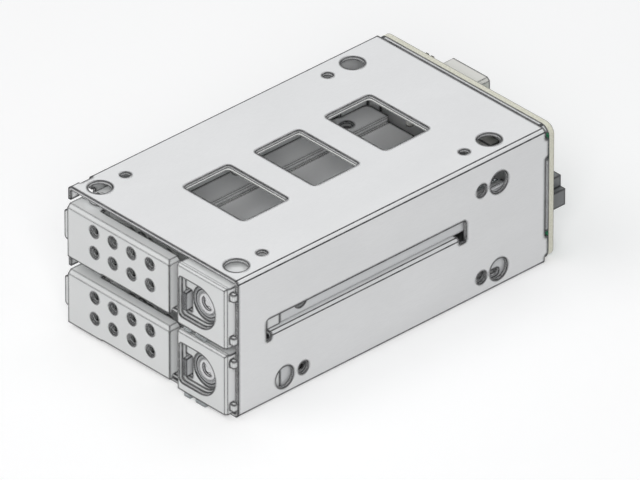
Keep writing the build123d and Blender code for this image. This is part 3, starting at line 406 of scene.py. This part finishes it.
def turned_face(name, base, centres):
    """Zinc lock face with rings from turning, around each lock's own axis."""
    finish = Finish(name, rounding=0.12, line=0.75, metallic=0.6, shade_line_depth=1.0)
    axis_x, heights = centres
    split = finish.add("ShaderNodeSeparateXYZ")
    finish.link(finish.place, split.inputs[0])
    nearest = finish.add("ShaderNodeMath", operation="GREATER_THAN")
    nearest.inputs[1].default_value = sum(heights) / 2
    finish.link(split.outputs["Z"], nearest.inputs[0])
    middle = finish.add("ShaderNodeMapRange")
    middle.inputs["To Min"].default_value = heights[0]
    middle.inputs["To Max"].default_value = heights[1]
    finish.link(nearest.outputs[0], middle.inputs["Value"])
    dz = finish.add("ShaderNodeMath", operation="SUBTRACT")
    finish.link(split.outputs["Z"], dz.inputs[0])
    finish.link(middle.outputs["Result"], dz.inputs[1])
    dx = finish.add("ShaderNodeMath", operation="SUBTRACT")
    finish.link(split.outputs["X"], dx.inputs[0])
    dx.inputs[1].default_value = axis_x
    flat = finish.add("ShaderNodeCombineXYZ")
    finish.link(dx.outputs[0], flat.inputs["X"])
    finish.link(dz.outputs[0], flat.inputs["Y"])
    radius = finish.add("ShaderNodeVectorMath", operation="LENGTH")
    finish.link(flat.outputs[0], radius.inputs[0])
    ring_pitch = 0.22 * MM
    rings = finish.add("ShaderNodeMath", operation="MULTIPLY")
    rings.inputs[1].default_value = 2 * math.pi / ring_pitch
    finish.link(radius.outputs["Value"], rings.inputs[0])
    wave = finish.add("ShaderNodeMath", operation="SINE")
    finish.link(rings.outputs[0], wave.inputs[0])
    groove = finish.between(wave.outputs[0], 0.0, 0.35, -1, 1)
    finish.colour(finish.blend(groove, base, tuple(c * 0.75 for c in base)))
    finish.roughness(finish.between(wave.outputs[0], 0.25, 0.36, -1, 1))
    finish.relief(wave.outputs[0], 0.008)
    return finish.material


def box_middle(node):
    low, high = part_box(node)
    return (low + high) / 2


def make_finishes():
    """Every finish by the name of the material slot that it belongs to."""
    lock_low = box_middle("lower_lock_core")
    lock_high = box_middle("upper_lock_core")
    return {
        "cage_steel": zinc_sheet("zinc sheet", (0.88, 0.885, 0.89), metallic=0.12, folds=True),
        # Pan sheet: pale zinc like the cage sheet, but set a little lighter as painted light, to brighten the
        # pan where it lies in shade under the roof
        "pan_steel": zinc_sheet("pan sheet", (0.91, 0.915, 0.92), metallic=0.1, folds=False),
        "bright_steel": plated_steel("plated steel", (0.80, 0.80, 0.79), 0.28),
        "spring_steel": plated_steel("spring wire", (0.60, 0.60, 0.61), 0.30),
        "film": film_sheet("insulation film"),
        "board": solder_mask("solder mask", (0.035, 0.20, 0.10)),
        "power_plastic": moulded("natural nylon", (0.82, 0.81, 0.77), roughness=0.42),
        "dark_plastic": moulded("slate grey moulding", (0.20, 0.205, 0.21), roughness=0.40),
        "contact_metal": plated_steel("gold flash", (0.85, 0.62, 0.26), 0.22),
        "chip_ceramic": moulded("ceramic", (0.55, 0.46, 0.34), roughness=0.45),
        "bezel_plastic": moulded("light grey moulding", (0.84, 0.85, 0.85)),
        "latch_plastic": moulded("catch moulding", (0.60, 0.61, 0.62), roughness=0.45),
        "button_plastic": moulded("button moulding", (0.62, 0.63, 0.64), roughness=0.40),
        "rail_plastic": moulded("rail moulding", (0.72, 0.73, 0.74), roughness=0.45),
        "lock_metal": turned_face("lock face", (0.74, 0.74, 0.75), (lock_low.x, (lock_low.z, lock_high.z))),
        "clear_plastic": clear_moulding("clear moulding"),
    }


def dress_cad(finishes):
    """Gives every CAD node the finish of its own slot."""
    slots = {entry["node"]: entry["material_slot"] for entry in frame["record"]["subparts"]}
    for name, piece in nodes.items():
        piece.data.materials.clear()
        piece.data.materials.append(finishes[slots[name]])


# Repeated parts, made by Geometry Nodes

class Pattern:
    """A Geometry Nodes tree with named size inputs, whose result is baked to one plain mesh."""

    def __init__(self, name):
        self.name = name
        self.tree = bpy.data.node_groups.new(name, "GeometryNodeTree")
        self.tree.interface.new_socket("Geometry", in_out="OUTPUT", socket_type="NodeSocketGeometry")
        self.source = self.tree.nodes.new("NodeGroupInput")
        self.values = {}

    def size(self, name, value):
        """Named input of the tree: a length in metres, an angle, or a count."""
        kind = "NodeSocketInt" if isinstance(value, int) else "NodeSocketFloat"
        socket = self.tree.interface.new_socket(name, in_out="INPUT", socket_type=kind)
        self.values[socket.identifier] = value
        return self.source.outputs[name]

    def set(self, socket, value):
        """Links a socket to another, or gives it a plain value."""
        if isinstance(value, bpy.types.NodeSocket):
            self.tree.links.new(value, socket)
        else:
            socket.default_value = value

    def add(self, kind, values=None, **settings):
        """New node with properties set by name and inputs by name or number."""
        node = self.tree.nodes.new(kind)
        for key, value in settings.items():
            setattr(node, key, value)
        for key, value in (values or {}).items():
            self.set(node.inputs[key], value)
        return node

    def vector(self, x=0.0, y=0.0, z=0.0):
        return self.add("ShaderNodeCombineXYZ", {0: x, 1: y, 2: z}).outputs[0]

    def times(self, a, b):
        return self.add("ShaderNodeMath", {0: a, 1: b}, operation="MULTIPLY").outputs[0]

    def block(self, x, y, z):
        return self.add("GeometryNodeMeshCube", {"Size": self.vector(x, y, z)}).outputs["Mesh"]

    def cylinder(self, radius, depth, sides):
        values = {"Vertices": sides, "Radius": radius, "Depth": depth}
        return self.add("GeometryNodeMeshCylinder", values).outputs["Mesh"]

    def cone(self, low, high, depth, sides=32):
        values = {"Vertices": sides, "Radius Bottom": low, "Radius Top": high, "Depth": depth}
        return self.add("GeometryNodeMeshCone", values).outputs["Mesh"]

    def move(self, geometry, place=None, turn=(0.0, 0.0, 0.0)):
        values = {"Geometry": geometry, "Rotation": turn}
        if place is not None:
            values["Translation"] = place
        return self.add("GeometryNodeTransform", values).outputs[0]

    def join(self, *pieces):
        node = self.add("GeometryNodeJoinGeometry")
        for piece in pieces:
            self.tree.links.new(piece, node.inputs[0])
        return node.outputs[0]

    def cut(self, geometry, *tools):
        node = self.add("GeometryNodeMeshBoolean", operation="DIFFERENCE")
        self.tree.links.new(geometry, node.inputs[0])
        for tool in tools:
            self.tree.links.new(tool, node.inputs[1])
        return node.outputs[0]

    def unite(self, *solids):
        node = self.add("GeometryNodeMeshBoolean", operation="UNION")
        for solid in solids:
            self.tree.links.new(solid, node.inputs[1])
        return node.outputs[0]

    def row(self, count, start, step):
        """Points in a row from a place, a step apart."""
        values = {"Count": count, "Start Location": start, "Offset": step}
        return self.add("GeometryNodeMeshLine", values, mode="OFFSET").outputs["Mesh"]

    def repeat(self, points, piece):
        """The piece at each point, as real geometry."""
        copies = self.add("GeometryNodeInstanceOnPoints", {"Points": points, "Instance": piece})
        return self.add("GeometryNodeRealizeInstances", {0: copies.outputs[0]}).outputs[0]

    def bake(self, geometry, material, body):
        """One mesh for one body, with its material."""
        real = self.add("GeometryNodeRealizeInstances", {0: geometry}).outputs[0]
        paint = self.add("GeometryNodeSetMaterial", {"Geometry": real, "Material": material})
        output = self.tree.nodes.new("NodeGroupOutput")
        self.tree.links.new(paint.outputs[0], output.inputs[0])
        host = bpy.data.objects.new(self.name + " host", bpy.data.meshes.new(self.name + " host"))
        scene.collection.objects.link(host)
        modifier = host.modifiers.new("pattern", "NODES")
        modifier.node_group = self.tree
        for identifier, value in self.values.items():
            modifier[identifier] = value
        evaluated = host.evaluated_get(bpy.context.evaluated_depsgraph_get())
        mesh = bpy.data.meshes.new_from_object(evaluated)
        mesh.name = self.name
        bpy.data.objects.remove(host)
        piece = bpy.data.objects.new(self.name.replace(" ", "_"), mesh)
        scene.collection.objects.link(piece)
        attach(piece, body)
        return piece


def add_board_screws(finish):
    """Pan heads with a cross recess, in place of the board screws' plain heads."""
    low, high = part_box("board_screws")
    head_radius = 2.4 * MM
    head_depth = 1.6 * MM
    bury = 0.1 * MM
    shank = high.y - low.y - head_depth + bury
    pattern = Pattern("cross recess screws")
    radius = pattern.size("head radius", head_radius)
    depth = pattern.size("head depth", head_depth)
    arm = pattern.size("recess arm", 0.62 * MM)
    turn = (-math.pi / 2, 0.0, 0.0)
    skirt = pattern.move(pattern.cone(radius, radius, pattern.times(depth, 0.6)), turn=turn)
    dome = pattern.cone(pattern.times(radius, 1.02), pattern.times(radius, 0.72), pattern.times(depth, 0.48))
    dome = pattern.move(dome, pattern.vector(0.0, pattern.times(depth, 0.52), 0.0), turn)
    recess = pattern.vector(0.0, pattern.times(depth, 1.05), 0.0)
    across = pattern.move(pattern.block(pattern.times(radius, 1.15), depth, arm), recess)
    upright = pattern.move(pattern.block(arm, depth, pattern.times(radius, 1.15)), recess)
    stem = pattern.cylinder(pattern.size("shank radius", 1.24 * MM), pattern.size("shank length", shank), 20)
    stem = pattern.move(stem, pattern.vector(0.0, bury - shank / 2, 0.0), turn)
    screw = pattern.cut(pattern.unite(skirt, dome, stem), across, upright)
    side = high.x - head_radius
    bottom = low.z + head_radius
    top = high.z - head_radius
    board = high.y - head_depth
    across = pattern.row(2, pattern.vector(-side, board, bottom), pattern.vector(2 * side, 0.0, 0.0))
    pair = pattern.repeat(across, screw)
    upper = pattern.move(pair, pattern.vector(0.0, 0.0, top - bottom))
    piece = pattern.bake(pattern.join(pair, upper), finish, "cage")
    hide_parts("board_screws")


def add_board_parts(finishes):
    """Small parts on the board's rear face: resistors, a chip with its legs and plated vias."""
    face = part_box("backplane_board")[1].y
    second_row = (0.003, 0.0, 0.0215)
    bodies = Pattern("resistor bodies")
    length = bodies.size("length", 1.3 * MM)
    depth = bodies.size("depth", 0.5 * MM)
    width = bodies.size("width", 0.8 * MM)
    pitch = bodies.size("pitch", 2.4 * MM)
    count = bodies.size("count", 9)
    start = (-0.026, face + 0.00025, 0.0105)
    points = bodies.row(count, start, bodies.vector(pitch, 0.0, 0.0))
    row = bodies.repeat(points, bodies.block(width, depth, length))
    second = bodies.move(row, second_row)
    bodies.bake(bodies.join(row, second), finishes["dark_plastic"], "cage")
    ends = Pattern("resistor ends")
    depth = ends.size("depth", 0.54 * MM)
    width = ends.size("width", 0.82 * MM)
    cap = ends.size("cap", 0.35 * MM)
    reach = ends.size("end to end", 1.65 * MM)
    pitch = ends.size("pitch", 2.4 * MM)
    count = ends.size("count", 9)
    first = ends.vector(0.0, 0.0, ends.times(reach, -0.5))
    both = ends.row(2, first, ends.vector(0.0, 0.0, reach))
    pair = ends.repeat(both, ends.block(width, depth, cap))
    row = ends.repeat(ends.row(count, start, ends.vector(pitch, 0.0, 0.0)), pair)
    second = ends.move(row, second_row)
    ends.bake(ends.join(row, second), finishes["bright_steel"], "cage")
    chip = Pattern("chip body")
    middle = (-0.012, face + 0.0009, 0.0215)
    width = chip.size("width", 8.4 * MM)
    depth = chip.size("depth", 1.3 * MM)
    body = chip.block(width, depth, chip.size("height", 5.2 * MM))
    dent = chip.cylinder(0.35 * MM, 0.2 * MM, 20)
    dent = chip.move(dent, (-0.0032, 0.00065, -0.0016), (math.pi / 2, 0.0, 0.0))
    chip.bake(chip.move(chip.cut(body, dent), middle), finishes["dark_plastic"], "cage")
    legs = Pattern("chip legs")
    leg = legs.size("leg width", 0.36 * MM)
    reach = legs.size("leg reach", 1.1 * MM)
    sheet = legs.size("leg thickness", 0.16 * MM)
    pitch = legs.size("leg pitch", 1.0 * MM)
    count = legs.size("legs on a side", 8)
    foot = legs.move(legs.block(leg, sheet, reach), (0.0, -0.0008, 0.0009))
    riser = legs.move(legs.block(leg, legs.size("leg drop", 0.9 * MM), sheet), (0.0, -0.0004, 0.0004))
    places = legs.row(count, (-0.0035, 0.0, 0.0026), legs.vector(pitch, 0.0, 0.0))
    side = legs.repeat(places, legs.unite(foot, riser))
    other = legs.move(side, turn=(0.0, math.pi, 0.0))
    legs.bake(legs.move(legs.join(side, other), middle), finishes["bright_steel"], "cage")
    vias = Pattern("plated vias")
    ring = vias.cylinder(vias.size("radius", 0.42 * MM), vias.size("height", 0.06 * MM), 14)
    ring = vias.move(ring, turn=(math.pi / 2, 0.0, 0.0))
    hole = vias.move(vias.cylinder(0.17 * MM, 0.2 * MM, 10), turn=(math.pi / 2, 0.0, 0.0))
    ring = vias.cut(ring, hole)
    area = {"Size X": 0.046, "Size Y": 0.030, "Vertices X": 3, "Vertices Y": 3}
    sheet = vias.add("GeometryNodeMeshGrid", area)
    plane = vias.move(sheet.outputs["Mesh"], (-0.008, face + 0.00002, 0.0255), (math.pi / 2, 0.0, 0.0))
    spread = vias.add("GeometryNodeDistributePointsOnFaces", {
        "Mesh": plane, "Distance Min": 1.9 * MM, "Density Max": vias.size("vias per square metre", 60000.0),
        "Seed": vias.size("seed", 7)}, distribute_method="POISSON")
    vias.bake(vias.repeat(spread.outputs["Points"], ring), finishes["contact_metal"], "cage")


def add_contacts(finishes):
    """Gold contacts in each drive receptacle's slot and on the data socket's tongue."""
    contact_pitch = 1.27 * MM
    for bay in BAYS:
        low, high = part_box(f"{bay}_receptacle")
        contacts = Pattern(f"{bay} receptacle contacts")
        count = contacts.size("count", 22)
        pitch = contacts.size("pitch", contact_pitch)
        strip = contacts.block(contacts.size("width", 0.6 * MM), contacts.size("length", 1.9 * MM), 0.16 * MM)
        middle = (low.z + high.z) / 2
        start = ((low.x + high.x) / 2 - 10.5 * contact_pitch, low.y + 1.35 * MM, middle - 0.56 * MM)
        row = contacts.repeat(contacts.row(count, start, contacts.vector(pitch, 0.0, 0.0)), strip)
        contacts.bake(row, finishes["contact_metal"], "cage")
    low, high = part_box("data_tongue")
    contacts = Pattern("data socket contacts")
    pitch = contacts.size("pitch", contact_pitch)
    strip = contacts.block(contacts.size("width", 0.7 * MM), contacts.size("length", 5.2 * MM), 0.1 * MM)
    start = ((low.x + high.x) / 2 - 4.5 * contact_pitch, (low.y + high.y) / 2, high.z + 0.03 * MM)
    places = contacts.row(contacts.size("count", 10), start, contacts.vector(pitch, 0.0, 0.0))
    row = contacts.repeat(places, strip)
    under = contacts.move(row, contacts.vector(0.0, 0.0, low.z - high.z - 0.06 * MM))
    contacts.bake(contacts.join(row, under), finishes["contact_metal"], "cage")


def add_thumb_ribs(finish):
    """Upright grip ribs on the front of each catch's thumb piece."""
    first_rib = 1.59 * MM
    thumb_middle = 5.95 * MM
    proud = 0.1 * MM
    for bay in BAYS:
        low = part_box(f"{bay}_lever_catch")[0]
        ribs = Pattern(f"{bay} thumb ribs")
        width = ribs.size("rib width", 0.22 * MM)
        depth = ribs.size("rib depth", 0.30 * MM)
        height = ribs.size("rib height", 5.9 * MM)
        pitch = ribs.size("rib pitch", 0.56 * MM)
        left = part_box(f"{bay}_latch_housing")[0].x + first_rib
        start = (left, low.y - proud, low.z + thumb_middle)
        row = ribs.repeat(ribs.row(ribs.size("count", 3), start, ribs.vector(pitch, 0.0, 0.0)),
                          ribs.block(width, depth, height))
        ribs.bake(row, finish, f"{bay}_catch")


def shorten_springs():
    """Gives each bay's button spring and catch spring a mesh of its own."""
    for bay in BAYS:
        for spring, joint, axis in (("button_spring", "button_press", 1), ("catch_spring", "catch_slide", 0)):
            piece = nodes[f"{bay}_{spring}"]
            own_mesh(piece)


add_camera()
add_world()
add_floor()
add_lamp("viewer_side_lamp", (0.85, -0.80, 0.82), 0.55, 6.8, (1.0, 0.995, 0.985))
add_lamp("front_lamp", (-0.55, -0.75, 1.15), 0.8, 3.7, (1.0, 0.985, 0.96))
add_lamp("top_lamp", (-0.2, 0.4, 1.3), 0.9, 3.9, (0.97, 0.985, 1.0))
finishes = make_finishes()
dress_cad(finishes)
add_board_screws(finishes["bright_steel"])
add_board_parts(finishes)
add_contacts(finishes)
add_thumb_ribs(finishes["latch_plastic"])
shorten_springs()
